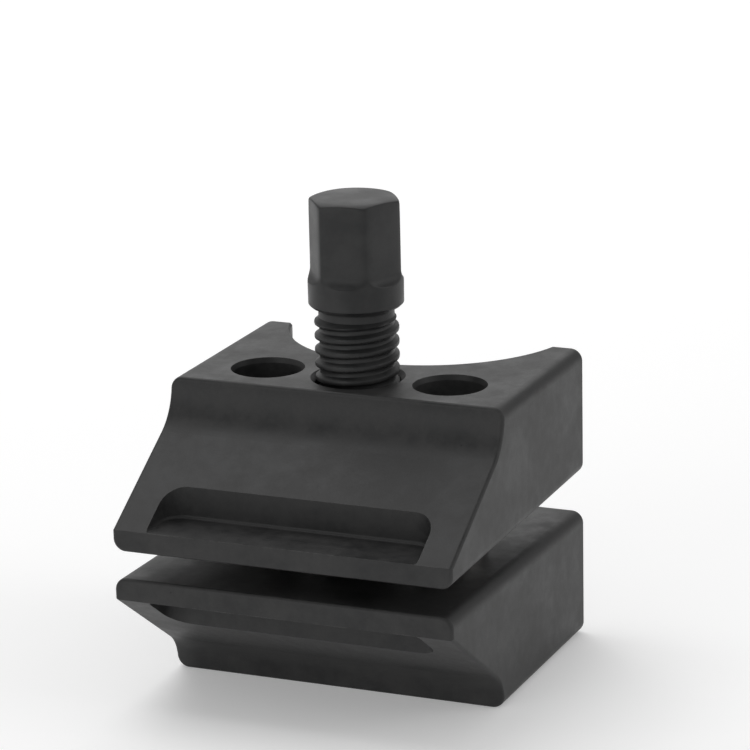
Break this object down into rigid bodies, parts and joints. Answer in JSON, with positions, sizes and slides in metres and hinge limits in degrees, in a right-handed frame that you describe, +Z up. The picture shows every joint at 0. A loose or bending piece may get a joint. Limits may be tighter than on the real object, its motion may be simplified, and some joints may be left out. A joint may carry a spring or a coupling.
{
  "type": "screw jaw spreader",
  "caption": "Two wedge-lipped black steel jaws on guide pins, driven apart by a hex-headed jack screw.",
  "frame": {"origin": "middle of the 40 by 41 mm footprint, on the lower jaw's bottom face", "axes": "+Z up along the jack screw, wedge lips facing -Y, concave back facing +Y, +X to the right when the lips are seen from the front"},
  "size_m": [0.04, 0.041, 0.055],
  "materials": {
    "jaw_steel": "milled steel, black oxide, oiled, satin",
    "screw_steel": "turned steel, black oxide, matte",
    "pin_steel": "ground bare steel",
    "washer_steel": "hardened bare steel, turned",
    "ring_steel": "phosphated spring steel"
  },
  "bodies": {
    "lower": {"lower_jaw": "jaw_steel", "guide_pin_left": "pin_steel", "guide_pin_right": "pin_steel", "thrust_washer": "washer_steel", "keeper_washer": "washer_steel"},
    "screw": {"jack_screw": "screw_steel", "retaining_ring": "ring_steel"},
    "upper": {"upper_jaw": "jaw_steel"}
  },
  "joints": [
    {"name": "jaw_slide", "type": "slide", "parent": "lower", "child": "upper", "axis": [0, 0, 1], "range_m": [-0.003, 0.0075]},
    {"name": "screw_turn", "type": "hinge", "parent": "lower", "child": "screw", "pos_m": [0, 0.002, 0], "axis": [0, 0, 1], "range_deg": [-1705, 685]}
  ],
  "couplings": [
    {"joint": "screw_turn", "follows": "jaw_slide", "rad_per_m": -3957.9}
  ]
}
